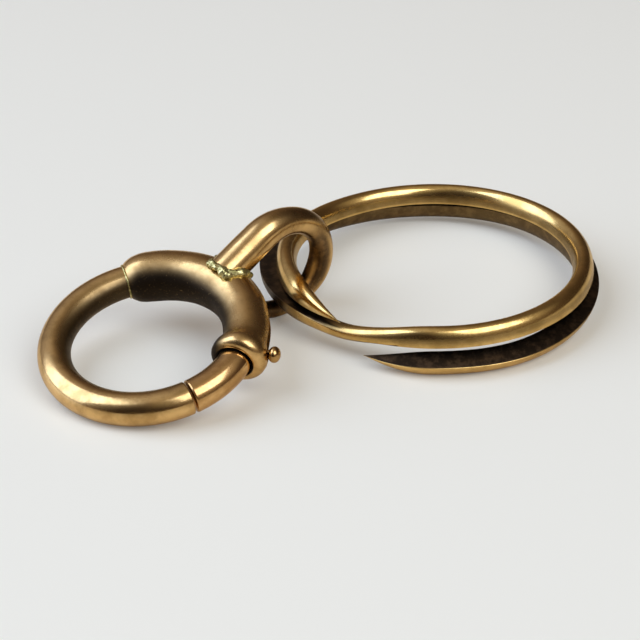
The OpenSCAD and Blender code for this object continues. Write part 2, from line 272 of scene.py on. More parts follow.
# %% Spin the bore out to the lip, then the outside back to the shoulder
def housing_angles():
    """Where the outside has its sections: close together at the lip and at the shoulder."""
    near_lip = [LIP + step for step in (0.35, 0.9, 1.6, 2.4, 3.4)]
    along = [LIP + 4.5 + 1.35 * k for k in range(1, 90)]
    shoulder = [96 + 0.75 * k for k in range(15)]
    return near_lip + [a for a in along if a < 95.4] + shoulder + [ARM_JOINT]


def grow_housing():
    """The tube in one skin: the bore, the turned lip, and the outside back to the shoulder."""
    shell = open_ring(BORE_END, BORE_R)
    spin_on(LIP + FLARE - BORE_END, steps=60)
    at, out, radius = LIP + FLARE, 0.0, BORE_R
    outside = [(a, between(HOUSING, a, 2), between(HOUSING, a)) for a in housing_angles()]
    for a, shift, r in LIP_TURN + outside:
        spin_on(a - at)
        middle = section_at(a, out)
        bpy.ops.transform.resize(value=(r / radius,) * 3, center_override=middle)
        bpy.ops.transform.translate(value=section_at(a, shift) - middle)
        at, out, radius = a, shift, r
    close_ends()
    return shell


def lean_lip(shell):
    """Turns the sections near the mouth, so that the lip's face is set back on its outer side."""
    for v in shell.data.vertices:
        at = degrees(atan2(v.co.y, v.co.x))
        if at < LIP + LEAN_SPAN:
            lean = LIP_LEAN * (1 - ease(at, LIP, LIP + LEAN_SPAN))
            middle = section_at(at, LEAN_OUT)
            along = Vector((-sin(radians(at)), cos(radians(at)), 0))
            outer = (v.co - middle).dot(Vector((cos(radians(at)), sin(radians(at)), 0)))
            v.co += along * outer * tan(radians(lean))


shell = grow_housing()
lean_lip(shell)
print("housing shell:", len(shell.data.vertices), "vertices")

# %% [markdown]
# The knob's stem travels in a slot that is sawn through the outer wall. A thin bent bar, deeper
# than the wall, is subtracted with a Boolean modifier, the way a saw would take it out.

# %% Saw the slot
SLOT_W, SLOT_END = 0.8, 2.9  # the slot is wider than the stem and runs on past it at both stops
SAW_AT, SAW_DEPTH = 8.6, 3.6  # the middle of the saw's blade, and its length
only()
bpy.ops.mesh.primitive_plane_add(size=1, location=(SAW_AT * MM, 0, 0), rotation=(pi / 2, 0, 0))
saw = bpy.context.object
saw.scale = (SAW_DEPTH * MM, SLOT_W * MM, 1)
bpy.ops.object.transform_apply(location=True, rotation=True, scale=True)
settle(saw, Matrix.Rotation(radians(KNOB_AT - SLOT_END), 4, "Z"))
bpy.ops.object.mode_set(mode="EDIT")
bpy.ops.mesh.select_all(action="SELECT")
bpy.ops.mesh.delete(type="ONLY_FACE")
bpy.ops.mesh.select_all(action="SELECT")
spin_on(TRAVEL + 2 * SLOT_END, steps=36)
close_ends()
subtract(shell, saw, "slot")
housing = finish_piece(shell, "housing_tube", "clasp", "housing", CLASP, outwards=False)

# %% [markdown]
# The bore gets painted shade inside. Each point of the housing is told whether it lies there: near
# the bore's middle and short of the closed shoulder. The finish reads it in an attribute called
# bore.

# %% Tell the bore from the outside
IN_BORE, PAST_BORE, SHOULDER_AT = 1.22, 1.3, 95  # two distances from the middle, and an angle
bore = housing.data.attributes.new("bore", "FLOAT", "POINT")
for i, v in enumerate(housing.data.vertices):
    q = CLASP_BACK @ (v.co / MM - CENTRE)
    off = Vector((Vector((q.x, q.y)).length - RING_R, q.z)).length
    bore.data[i].value = ease(off, PAST_BORE, IN_BORE) * (degrees(atan2(q.y, q.x)) < SHOULDER_AT)
print("bore points:", sum(b.value > 0.5 for b in bore.data), "of", len(bore.data))

# %% [markdown]
# ## The thumb knob
# A small flattened ball on a thick stem, riveted into the bolt. A sphere is squashed a little
# along the stem, and the stem is a plain cylinder that runs into the ball.

# %% Model the knob
BALL_R, BALL_SQUASH, BALL_AT = 0.53, 0.76, 8.44  # both middles are measured from the ring's
STEM_R, STEM_LEN, STEM_AT = 0.27, 2.0, 7.25
only()
bpy.ops.mesh.primitive_uv_sphere_add(segments=48, ring_count=24, radius=BALL_R * MM,
                                     location=(0, 0, 0))
knob = bpy.context.object
bpy.ops.object.mode_set(mode="EDIT")
bpy.ops.mesh.select_all(action="SELECT")
bpy.ops.transform.resize(value=(1, 1, BALL_SQUASH), center_override=(0, 0, 0))
bpy.ops.transform.translate(value=(0, 0, BALL_AT * MM))
bpy.ops.mesh.primitive_cylinder_add(vertices=40, radius=STEM_R * MM, depth=STEM_LEN * MM,
                                    end_fill_type="NGON", location=(0, 0, STEM_AT * MM))
bpy.ops.object.mode_set(mode="OBJECT")
KNOB = CLASP @ Matrix.Rotation(radians(KNOB_AT), 4, "Z") @ Matrix.Rotation(pi / 2, 4, "Y")
knob = finish_piece(knob, "thumb_knob_ball", "bolt", "thumb_knob", KNOB)

# %% [markdown]
# ## The bail
# The bail is one thick wire: a straight leg soldered on the housing, a loop, and a thinner lower
# leg that years of rubbing against the split ring have worn down. A curve with a radius at every
# point draws such a wire, and converting it makes a mesh. Each point of the mesh is also told how
# dark it is painted, in an attribute called inner that the finish reads: painted shade on the
# loop's inner side, a painted dark reflection along the top near the leg, and a dark low end.

# %% A round wire along points
def wire_along(points, radii, sides=48, caps=True, twist="MINIMUM"):
    """A mesh round the points, which are in metres; the radii are in millimetres."""
    curve = bpy.data.curves.new("wire", "CURVE")
    curve.dimensions = "3D"
    curve.twist_mode = twist
    line = curve.splines.new("POLY")
    line.points.add(len(points) - 1)
    for knot, place, r in zip(line.points, points, radii):
        knot.co = (*place, 1)
        knot.radius = r
    curve.bevel_depth = MM
    curve.bevel_resolution = (sides - 4) // 2
    curve.use_fill_caps = caps
    piece = bpy.data.objects.new("wire", curve)
    bpy.context.collection.objects.link(piece)
    only(piece)
    bpy.ops.object.convert(target="MESH")
    return bpy.context.object


print("wire helper ready")

# %% The bail's path in its own upright plane
BAIL_TURN, BAIL_SIDE = radians(40), 0.4  # the plane's direction, and its distance to the side
BAIL_A, BAIL_B, BAIL_OUT, BAIL_UP = 3.57, 3.2, 11.2, 3.8  # the loop's half axes and its middle
LEG_RISE, LOW_RISE = radians(29), radians(40)
LEG_R, LOW_R, NECK_R = 1.15, 0.62, 1.56  # the two legs, and the housing at the lower one's foot
LEG_RINGS, LOOP_STEPS, LOW_RINGS, BAIL_SIDES = 13, 96, 8, 48
leg_turn = 90 + degrees(atan(tan(LEG_RISE) * BAIL_A / BAIL_B))
low_turn = -90 - degrees(atan(tan(LOW_RISE) * BAIL_A / BAIL_B))
# The wire's radius at angles round the loop
BAIL_R = [(-160, 0.66), (low_turn, LOW_R), (-90, 0.60), (-60, 0.65), (-30, 0.81), (25, 0.81),
          (75, 0.935), (105, 1.08), (leg_turn, 1.12), (150, LEG_R)]


def loop_at(t):
    """The middle of the loop's wire at an angle round it: outwards and up."""
    return (BAIL_OUT + BAIL_A * cos(radians(t)), BAIL_UP + BAIL_B * sin(radians(t)))


leg_top, low_end = loop_at(leg_turn), loop_at(low_turn)
leg_len = (leg_top[0] - RING_R) / cos(LEG_RISE)
low_len = (low_end[0] - RING_R - NECK_R) / cos(LOW_RISE) + 0.6
bail_path, bail_radii = [], []
for i in range(LEG_RINGS):
    s = leg_len * (1 - i / LEG_RINGS)
    bail_path.append((leg_top[0] - s * cos(LEG_RISE), leg_top[1] - s * sin(LEG_RISE)))
    bail_radii.append(LEG_R - 0.03 * ease(s, 1.6, 0))
for i in range(LOOP_STEPS + 1):
    t = leg_turn + (low_turn - leg_turn) * i / LOOP_STEPS
    bail_path.append(loop_at(t))
    bail_radii.append(between(BAIL_R, t))
for i in range(1, LOW_RINGS + 1):
    s = low_len * i / LOW_RINGS
    bail_path.append((low_end[0] - s * cos(LOW_RISE), low_end[1] + s * sin(LOW_RISE)))
    bail_radii.append(LOW_R + 0.03 * i / LOW_RINGS)
print("bail path:", len(bail_path), "rings, upper leg", round(leg_len, 2), "mm long")

# %% Draw the bail and mark where it is painted dark
def painted_dark_on_bail(k, co):
    """How darkly a point of the bail is painted, on ring k of its path; the loop has rings 13 to
    109.
    """
    x, z = bail_path[k]
    inwards = Vector((BAIL_OUT - x, BAIL_UP - z)).normalized()
    off = Vector((co.x / MM - x, co.z / MM - z)) / bail_radii[k]
    round_wire = degrees(atan2(-co.y, -off.dot(inwards) * bail_radii[k] * MM))
    # The inner side gets painted shade, the top near the leg a painted dark reflection, and the
    # low end is made dark.
    inside = ease(off.dot(inwards), -0.5, 0.15) * ease(k, 36, 54)
    dark_reflection = ease(abs(round_wire - 38), 42, 8) * ease(k, 14, 34) * (1 - ease(k, 55, 66))
    low_end_dark = ease(k, 90, 104)
    return max(inside, 0.6 * dark_reflection, low_end_dark)


bail = wire_along([(x * MM, 0, z * MM) for x, z in bail_path], bail_radii, BAIL_SIDES)
inner = bail.data.attributes.new("inner", "FLOAT", "POINT")
for i, v in enumerate(bail.data.vertices):
    inner.data[i].value = painted_dark_on_bail(min(i // BAIL_SIDES, len(bail_path) - 1), v.co)
settle(bail, Matrix.Translation(GROUND * MM) @ Matrix.Rotation(BAIL_TURN, 4, "Z")
       @ Matrix.Translation((0, BAIL_SIDE * MM, 0)))
print("darkened points:", sum(g.value > 0.5 for g in inner.data), "of", len(inner.data))

# %% Cut the bail's feet to the housing
SEAT_FROM, SEAT_SPAN, SEAT_R = -10, 100, 1.69  # the stretch of the housing under the two feet
seat = open_ring(SEAT_FROM, SEAT_R)
spin_on(SEAT_SPAN, steps=80)
close_ends()
settle(seat, CLASP)
subtract(bail, seat, "feet")
bail = finish_piece(bail, "bail_wire", "clasp", "bail")

# %% [markdown]
# ## The spring
# A coil hidden in the bore pushes the bolt shut. Its rear end rests against the arm and its front
# end goes with the bolt, so in the real clasp the coil closes up as the bolt slides back; here it
# is drawn once, at rest, and does not move with the bolt.

# %% Wind the spring
SPRING_R, SPRING_WIRE, TURNS, TURN_STEPS = 0.9, 0.13, 15, 24
spring_front, spring_rear = 7.48, 96.52
coil = []
for i in range(TURNS * TURN_STEPS + 1):
    at = spring_front + (spring_rear - spring_front) * (i / (TURNS * TURN_STEPS))
    turned = radians(360 / TURN_STEPS * i)
    lift = Vector((0, 0, SPRING_R * sin(turned) * MM))
    coil.append(section_at(at, SPRING_R * cos(turned)) + lift)
spring = wire_along(coil, [SPRING_WIRE] * len(coil), sides=12)
spring.name = spring.data.name = "spring_coil"
settle(spring, CLASP)
bpy.ops.object.shade_smooth_by_angle(angle=radians(SHARP))
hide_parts("spring")
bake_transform(spring)
print("spring_coil", len(spring.data.vertices), "vertices")
only()

# %% [markdown]
# ## The split ring
# One long half-round wire, wound nearly twice round and filed to a point at each end. Its flats
# face each other: the upper turn has its flat below, the lower turn has it on top, and the wire
# changes over on the left. A round wire is drawn along the path first. Then each section is
# pressed: the side that is to be flat is pushed in, as a rolling mill does.

# %% Stations along the wire: angle wound, radius, level of the flat, roll
SPLIT_AT = Vector((18.95, 10.8, 0)) + GROUND
SPLIT_W, SPLIT_H = 1.45, 1.2
WOUND_FROM, START, WIND = 229, -3, 706  # direction at nought degrees wound, and the two ends
FIRST_TIP, LAST_TIP, THINNEST = 29, 24, 0.035  # length of the points, and how thin they end
CHANGE = 328, 380  # here the flat passes from the underside to the top
WAIST = 0.18  # the wire is this much thinner at the change
PRESSED = 0.03  # what the press leaves of the height on the flat side
R, LOW, UP, OVER = 10.15, 1.21, 1.66, 2.47  # the winding's radius, and three levels of the flat
SPLIT = [
    (START, R + 0.67, OVER - 0.03, 0), (0, R + 0.65, OVER + 0.03, 0),
    (24, R + 0.4, OVER + 0.07, 0), (46, R + 0.17, OVER + 0.05, 0),
    (66, R + 0.04, OVER - 0.23, 0), (86, R, UP + 0.28, 0), (108, R, UP + 0.08, 0),
    (139, R, UP + 0.11, 0), (229, R, UP + 0.47, 0), (319, R, UP + 0.24, 0),
    (340, R + 0.03, UP + 0.08, 0), (356, R + 0.2, UP, 0), (371, R + 0.64, OVER - 0.4, 0),
    (392, R + 1.24, OVER, 0), (410, R + 1.24, OVER - 0.05, 0), (430, R + 1, OVER - 0.45, 0),
    (450, R + 0.65, UP + 0.06, 0), (470, R + 0.35, UP - 0.09, 0), (499, R + 0.1, UP - 0.09, 0),
    (544, R + 0.08, UP + 0.19, 3), (589, R + 0.33, UP + 0.12, 8), (620, R + 0.65, LOW + 0.2, 14),
    (650, R + 0.85, LOW - 0.03, 20), (682, R + 0.95, LOW - 0.03, 20),
    (WIND, R + 1.15, LOW - 0.3, 20)]


def split_section(w):
    """Middle, way out, way up, half width, height above and below the flat, at an angle wound."""
    at, g = radians(WOUND_FROM - w), radians(between(SPLIT, w, 3))
    r, z = between(SPLIT, w), between(SPLIT, w, 2)
    tip = min(1, sin(pi / 2 * min(1, (w - START) / FIRST_TIP)),
              sin(pi / 2 * min(1, (WIND - w) / LAST_TIP)))
    waist = 1 - WAIST * ease(w, 322, 346) * (1 - ease(w, 362, 385))
    size = max(THINNEST, tip) * waist
    turned = ease(w, *CHANGE)
    out = Vector((cos(at), sin(at), 0))
    up = Vector((0, 0, 1))
    side = out * cos(g) - up * sin(g)
    crown = out * sin(g) + up * cos(g)
    middle = SPLIT_AT + out * r + up * z
    return (middle, side, crown, SPLIT_W / 2 * size,
            SPLIT_H * size * max(PRESSED, 1 - turned), SPLIT_H * size * max(PRESSED, turned))


print("split ring:", len(SPLIT), "stations over", WIND - START, "degrees")

# %% [markdown]
# While the wire is pressed, each point gets two marks that the finish reads later. One is called
# flat: the pressed side, and the stretch that goes through the bail again, are nearly black. The
# other is called shade, and it is painted shade and painted dark reflection: painted shade on the
# part of the lower turn that lies under the upper one and on the upper turn's inner wall, and a
# painted dark reflection in a stripe along its outside on the left.

# %% Draw the round wire, then press it
DRAWN_R, SPLIT_SIDES = 0.5, 40  # the wire before it is pressed
BOXY = 0.9  # the domed side is a little squarer than round


def split_steps():
    """The angles wound at which the wire has a section: close together at the two tips."""
    near = [0.0, 0.6, 1.3, 2.1, 3, 4, 5.2, 6.6, 8.2, 10]
    middle = [7 + 1.9 * k for k in range(1, 365) if 7 + 1.9 * k < WIND - 10.5]
    return [START + w for w in near] + middle + [WIND - w for w in near[::-1]]


def split_marks(w, t):
    """How flat and how shaded a point is, at an angle wound and an angle round the section."""
    c, s, turned = cos(t), sin(t), ease(w, *CHANGE)
    pressed = ease(1 - turned, 0.3, 0.9) if s < 0 else ease(turned, 0.3, 0.9)
    in_bail = ease(w, 380, 390) * (1 - ease(w, 430, 450))
    # covered is painted shade under the upper turn, wall is painted shade on the inner wall, and
    # stripe is a painted dark reflection
    covered = ease(w, 368, 388) * (1 - 0.25 * ease(w, 420, 460)) * (1 - ease(w, 590, 640))
    wall = ease(-c, 0.7, 0.95) * ease(w, 60, 100) * (1 - ease(w, 232, 262)) * (s > 0)
    stripe = ease(s, 0.08, 0.25) * (1 - ease(s, 0.45, 0.62)) * (c > 0)
    stripe *= ease(w, 225, 250) * (1 - ease(w, 330, 350))
    return max(in_bail, pressed * ease(abs(s), 0.1, 0.42)), max(covered, 0.5 * wall, 0.4 * stripe)


def pressed_wire():
    """The half-round wire with its marks, closed at both tips."""
    steps = split_steps()
    wire = wire_along([split_section(w)[0] * MM for w in steps], [DRAWN_R] * len(steps),
                      SPLIT_SIDES, caps=False, twist="Z_UP")
    points = wire.data.vertices
    flat = wire.data.attributes.new("flat", "FLOAT", "POINT")
    shade = wire.data.attributes.new("shade", "FLOAT", "POINT")
    for i, w in enumerate(steps):
        middle, side, crown, half, up, down = split_section(w)
        for k in range(i * SPLIT_SIDES, (i + 1) * SPLIT_SIDES):
            d = (points[k].co / MM - middle) / DRAWN_R
            t = atan2(d.dot(crown), d.dot(side))
            c, s = cos(t), sin(t)
            full = up if s > 0 else down
            c = (abs(c) ** (BOXY if full > 0.3 else 1.0)) * (1 if c > 0 else -1)
            points[k].co = (middle + side * half * c + crown * full * s) * MM
            flat.data[k].value, shade.data[k].value = split_marks(w, t)
    bpy.ops.object.mode_set(mode="EDIT")
    close_ends()
    return wire


split_ring = finish_piece(pressed_wire(), "split_ring_wire", "split_ring", "split_ring")

# %% [markdown]
# ## The solder
# Old solder is paler and greener than the gold, and its surface is grainy, because it froze as it
# ran. The bead round the bail's foot is drawn as a thick wire that follows the crease between the
# leg and the housing, and noise then pushes its skin in and out. The seam round the arm is a thin
# ring, roughened in the same way.

# %% Follow the crease between the leg and the housing
def by_leg(s, t, r):
    """A place beside the bail's leg: s down it from the loop, t round it, r from its middle."""
    x = leg_top[0] - s * cos(LEG_RISE) - r * cos(t) * sin(LEG_RISE)
    z = leg_top[1] - s * sin(LEG_RISE) + r * cos(t) * cos(LEG_RISE)
    return (Matrix.Translation(GROUND) @ Matrix.Rotation(BAIL_TURN, 4, "Z")
            @ Vector((x, BAIL_SIDE + r * sin(t), z)))


def off_housing(p):
    """How far a place lies outside the housing's skin under the bail."""
    q = CLASP_BACK @ (p - CENTRE)
    return Vector((Vector((q.x, q.y)).length - RING_R - FLANK_OUT, q.z)).length - FLANK_R


def crease(t, r):
    """Where a line down the leg's side meets the housing, found by halving twenty times."""
    near, far = 0.0, leg_len
    for _ in range(20):
        half = (near + far) / 2
        near, far = (half, far) if off_housing(by_leg(half, t, r)) > 0 else (near, half)
    return by_leg(near, t, r)


BEAD_STEPS, BEAD_SIDES = 144, 28
BEAD_R, BEAD_FULLER = 0.16, 0.17  # the bead's thinnest radius, and what its front has more
bead_points, bead_radii = [], []
for k in range(BEAD_STEPS + 1):
    t = 2 * pi * k / BEAD_STEPS
    front = max(0, cos(t - radians(300)))
    bead_points.append(crease(t, LEG_R + 0.16 * front) * MM)
    bead_radii.append(BEAD_R + BEAD_FULLER * front + 0.03 * sin(5 * t)
                      + 0.03 * cos(9 * t + 0.7) + 0.03 * sin(17 * t))
print("bead path:", len(bead_points), "points, up to", round(max(bead_radii), 2), "mm in radius")

# %% Draw the bead and roughen it
GRAIN, BEAD_ROUGH, SEAM_ROUGH = 0.00028, 0.00022, 0.00005  # metres


def roughen(piece, height):
    """Pushes the skin in and out by the cloudy grain."""
    lumps = piece.modifiers.new("lumps", "DISPLACE")
    lumps.texture = grain
    lumps.strength = height
    lumps.mid_level = 0.5
    only(piece)
    bpy.ops.object.modifier_apply(modifier=lumps.name)


grain = bpy.data.textures.new("solder lumps", "CLOUDS")
grain.noise_scale = GRAIN
bead = wire_along(bead_points, bead_radii, BEAD_SIDES)
roughen(bead, BEAD_ROUGH)
bead = finish_piece(bead, "bail_solder_bead", "clasp", "bail_solder")
bead.data.polygons.foreach_set("use_smooth", [True] * len(bead.data.polygons))

# %% The seam round the arm
SEAM_R, SEAM_WIRE, SEAM_AT = 1.12, 0.065, ARM_JOINT + 0.45
only()
bpy.ops.mesh.primitive_torus_add(major_segments=96, minor_segments=14, major_radius=SEAM_R * MM,
                                 minor_radius=SEAM_WIRE * MM, location=(RING_R * MM, 0, 0),
                                 rotation=(pi / 2, 0, 0))
seam = bpy.context.object
bpy.ops.object.transform_apply(location=True, rotation=True, scale=True)
settle(seam, CLASP @ Matrix.Rotation(radians(SEAM_AT), 4, "Z"))
roughen(seam, SEAM_ROUGH)
seam = finish_piece(seam, "arm_solder_seam", "clasp", "arm_solder")

# %% [markdown]
# ## Finishes
# The gold is old and worn: bright where hands rub it, browner and duller in the hollows, with
# fine scratches and a very slight waviness left by the hammer and the polishing wheel. These
# effects are shared, so each is a small node group that gives out a colour, a mask or a normal.

# %% Helpers for nodes and groups
def add(tree, kind, place=(0, 0), **values):
    """A new node; a value is put on the node itself, or on the input of that name."""
    node = tree.nodes.new(kind)
    node.location = place
    for key, value in values.items():
        if hasattr(node, key):
            setattr(node, key, value)
        else:
            node.inputs[key.replace("_", " ")].default_value = value
    return node


def mix_colour(tree, factor, a, b, place=(0, 0), blend="MIX"):
    """Mixes two colours; each argument is a number, a colour or another node's socket."""
    node = tree.nodes.new("ShaderNodeMix")
    node.data_type = "RGBA"
    node.blend_type = blend
    node.location = place
    for socket, value in zip((node.inputs[0], node.inputs[6], node.inputs[7]), (factor, a, b)):
        if isinstance(value, bpy.types.NodeSocket):
            tree.links.new(value, socket)
        else:
            socket.default_value = value
    return node.outputs[2]


def group(name, inputs, outputs):
    """An empty node group with its inputs and outputs."""
    tree = bpy.data.node_groups.new(name, "ShaderNodeTree")
    for label, value in inputs:
        socket = tree.interface.new_socket(label, in_out="INPUT", socket_type="NodeSocketFloat")
        socket.default_value = value
    for label, kind in outputs:
        tree.interface.new_socket(label, in_out="OUTPUT", socket_type=kind)
    return tree, add(tree, "NodeGroupInput", (-900, 0)), add(tree, "NodeGroupOutput", (700, 0))


print("node helpers ready")

# %% Worn surface: scratches, waviness and blotches
def worn_surface():
    """Blotches, fine grain, and a normal with waves, scratches and pits."""
    tree, given, out = group(
        "worn metal surface",
        [("Blotch size", 600.0), ("Scratch", 0.3), ("Wave", 0.25), ("Pits", 0.2)],
        [("Blotches", "NodeSocketFloat"), ("Fine", "NodeSocketFloat"),
         ("Normal", "NodeSocketVector")])
    link = tree.links.new
    where = add(tree, "ShaderNodeTexCoord", (-900, 300))
    blotch = add(tree, "ShaderNodeTexNoise", (-600, 300), Detail=4.0, Roughness=0.62)
    link(where.outputs["Object"], blotch.inputs["Vector"])
    link(given.outputs["Blotch size"], blotch.inputs["Scale"])
    fine = add(tree, "ShaderNodeTexNoise", (-600, 60), Scale=7000.0, Detail=3.0, Roughness=0.6)
    link(where.outputs["Object"], fine.inputs["Vector"])
    wave = add(tree, "ShaderNodeTexNoise", (-600, -160), Scale=420.0, Detail=1.0)
    link(where.outputs["Object"], wave.inputs["Vector"])
    stretch = add(tree, "ShaderNodeMapping", (-760, -420), Scale=(1.0, 9.0, 3.0),
                  Rotation=(0.4, 0.3, 0.9))
    link(where.outputs["Object"], stretch.inputs["Vector"])
    lines = add(tree, "ShaderNodeTexNoise", (-600, -420), Scale=2200.0, Detail=5.0, Roughness=0.7)
    link(stretch.outputs["Vector"], lines.inputs["Vector"])
    swell = add(tree, "ShaderNodeBump", (-200, -160), Distance=0.00006)
    link(given.outputs["Wave"], swell.inputs["Strength"])
    link(wave.outputs["Fac"], swell.inputs["Height"])
    scratch = add(tree, "ShaderNodeBump", (60, -260), Distance=0.000006)
    link(given.outputs["Scratch"], scratch.inputs["Strength"])
    link(lines.outputs["Fac"], scratch.inputs["Height"])
    link(swell.outputs["Normal"], scratch.inputs["Normal"])
    pits = add(tree, "ShaderNodeBump", (320, -260), Distance=0.00001)
    link(given.outputs["Pits"], pits.inputs["Strength"])
    link(fine.outputs["Fac"], pits.inputs["Height"])
    link(scratch.outputs["Normal"], pits.inputs["Normal"])
    link(blotch.outputs["Fac"], out.inputs["Blotches"])
    link(fine.outputs["Fac"], out.inputs["Fine"])
    link(pits.outputs["Normal"], out.inputs["Normal"])
    return tree


WORN = worn_surface()
print("group:", WORN.name)

# %% [markdown]
# Soot and old grease gather on the inner side of the clasp ring, where nothing rubs. A second
# group measures how far a place lies from the ring's leaning axis, and gives a mask that is one
# on the inner side and nought on the outer.

# %% How sooty a place on the clasp ring is
def inner_soot():
    """Soot grows from nought at one distance from the ring's axis to full at another, in mm."""
    tree, given, out = group("soot inside the ring", [("From", 6.2), ("To", 5.0)],
                             [("Soot", "NodeSocketFloat")])
    link = tree.links.new
    where = add(tree, "ShaderNodeTexCoord", (-900, 300))
    away = add(tree, "ShaderNodeVectorMath", (-700, 300), operation="SUBTRACT")
    away.inputs[1].default_value = CENTRE * MM
    link(where.outputs["Object"], away.inputs[0])
    axis = CLASP.to_3x3() @ Vector((0, 0, 1))
    high = add(tree, "ShaderNodeVectorMath", (-500, 160), operation="DOT_PRODUCT")
    high.inputs[1].default_value = axis
    link(away.outputs[0], high.inputs[0])
    along = add(tree, "ShaderNodeVectorMath", (-320, 160), operation="SCALE")
    along.inputs[0].default_value = axis
    link(high.outputs["Value"], along.inputs["Scale"])
    flat = add(tree, "ShaderNodeVectorMath", (-140, 300), operation="SUBTRACT")
    link(away.outputs[0], flat.inputs[0])
    link(along.outputs[0], flat.inputs[1])
    radius = add(tree, "ShaderNodeVectorMath", (40, 300), operation="LENGTH")
    link(flat.outputs[0], radius.inputs[0])
    size = add(tree, "ShaderNodeMath", (200, 300), operation="MULTIPLY")
    size.inputs[1].default_value = 1 / MM
    link(radius.outputs["Value"], size.inputs[0])
    span = add(tree, "ShaderNodeMapRange", (380, 300), interpolation_type="SMOOTHSTEP")
    link(size.outputs[0], span.inputs["Value"])
    link(given.outputs["From"], span.inputs["From Min"])
    link(given.outputs["To"], span.inputs["From Max"])
    link(span.outputs["Result"], out.inputs["Soot"])
    return tree


SOOT = inner_soot()
print("group:", SOOT.name)

# %% [markdown]
# ## The gold
# One recipe makes every gold finish here, with different numbers: the bright colour, the
# tarnished colour, how much tarnish, and how rough. Blotches move the colour and the roughness
# between the two, soot darkens the inner side with a ragged edge, and the waves, scratches and
# pits break up the reflections.

# %% Recipe for worn gold
def worn_gold(name, bright, dull, rough, tarnish=(0.35, 0.7), blotch=600.0, scratch=0.3,
              wave=0.25, pits=0.2, soot=(0.03, 0.02, 0.015), sooty=0.0, sooty_from=6.2,
              sooty_to=5.0):
    """A worn metal; rough is the roughness where it is bright and where it is tarnished."""
    material = bpy.data.materials.new(name)
    material.use_nodes = True
    tree = material.node_tree
    link = tree.links.new
    metal = tree.nodes["Principled BSDF"]
    metal.inputs["Metallic"].default_value = 1.0
    surface = add(tree, "ShaderNodeGroup", (-900, 0), node_tree=WORN)
    for label, value in (("Blotch size", blotch), ("Scratch", scratch), ("Wave", wave),
                         ("Pits", pits)):
        surface.inputs[label].default_value = value
    dulled = add(tree, "ShaderNodeMapRange", (-650, 200), interpolation_type="SMOOTHSTEP")
    dulled.inputs["From Min"].default_value, dulled.inputs["From Max"].default_value = tarnish
    link(surface.outputs["Blotches"], dulled.inputs["Value"])
    colour = mix_colour(tree, dulled.outputs["Result"], (*bright, 1), (*dull, 1), (-400, 200))
    roughness = add(tree, "ShaderNodeMapRange", (-400, -100))
    roughness.inputs["To Min"].default_value, roughness.inputs["To Max"].default_value = rough
    link(dulled.outputs["Result"], roughness.inputs["Value"])
    rough_out = roughness.outputs["Result"]
    if sooty:
        inner = add(tree, "ShaderNodeGroup", (-900, 450), node_tree=SOOT)
        inner.inputs["From"].default_value = sooty_from
        inner.inputs["To"].default_value = sooty_to
        broken = add(tree, "ShaderNodeMath", (-650, 450), operation="MULTIPLY_ADD")
        link(surface.outputs["Fine"], broken.inputs[0])
        broken.inputs[1].default_value = 1.2
        broken.inputs[2].default_value = -0.1
        amount = add(tree, "ShaderNodeMath", (-450, 450), operation="MULTIPLY", use_clamp=True)
        link(inner.outputs["Soot"], amount.inputs[0])
        amount.inputs[1].default_value = sooty
        grainy = add(tree, "ShaderNodeMath", (-250, 450), operation="MULTIPLY", use_clamp=True)
        link(amount.outputs[0], grainy.inputs[0])
        patchy = add(tree, "ShaderNodeMath", (-450, 620), operation="ADD", use_clamp=True)
        link(broken.outputs[0], patchy.inputs[0])
        patchy.inputs[1].default_value = 0.62
        link(patchy.outputs[0], grainy.inputs[1])
        colour = mix_colour(tree, grainy.outputs[0], colour, (*soot, 1), (-150, 250))
        more = add(tree, "ShaderNodeMath", (-150, -100), operation="MULTIPLY_ADD")
        link(grainy.outputs[0], more.inputs[0])
        more.inputs[1].default_value = 0.25
        link(rough_out, more.inputs[2])
        rough_out = more.outputs[0]
    link(colour, metal.inputs["Base Color"])
    link(rough_out, metal.inputs["Roughness"])
    link(surface.outputs["Normal"], metal.inputs["Normal"])
    return material


GOLD = dict(bright=(0.78, 0.54, 0.24), dull=(0.50, 0.325, 0.13), soot=(0.03, 0.022, 0.015))
clasp_gold = worn_gold("worn clasp gold", rough=(0.14, 0.25), sooty=0.97, wave=0.3, **GOLD)
housing_gold = worn_gold("worn housing gold", rough=(0.18, 0.3), sooty=1.0, sooty_from=6.0,
                         sooty_to=4.9, pits=0.3, **GOLD)
bolt_gold = worn_gold("rubbed bolt gold", bright=(0.80, 0.53, 0.24), dull=(0.55, 0.33, 0.13),
                      rough=(0.12, 0.22), sooty=0.7, pits=0.15)
bail_gold = worn_gold("worn bail gold", rough=(0.16, 0.28), pits=0.25, **GOLD)
knob_gold = worn_gold("bright knob gold", bright=(0.68, 0.44, 0.18), dull=(0.42, 0.26, 0.10),
                      rough=(0.1, 0.18))
print("gold finishes ready")

# %% [markdown]
# Some darkening doesn't follow the recipe alone, and the marks that were put on the points of the
# meshes say where. On the split ring, flat is nearly black and mottled brown, and shade is painted
# shade and painted dark reflection in a duller gold, while the domed outside is as bright as the
# rest. On the bail, inner is painted shade inside the loop, a painted dark reflection on its top,
# and a dark low end. In the housing, bore is painted shade on the inside of the tube.

# %% Darker where a mark says so
def read_mask(tree, name, place):
    """The value of a mark on the mesh."""
    node = add(tree, "ShaderNodeAttribute", place)
    node.attribute_name = name
    return node.outputs["Fac"]


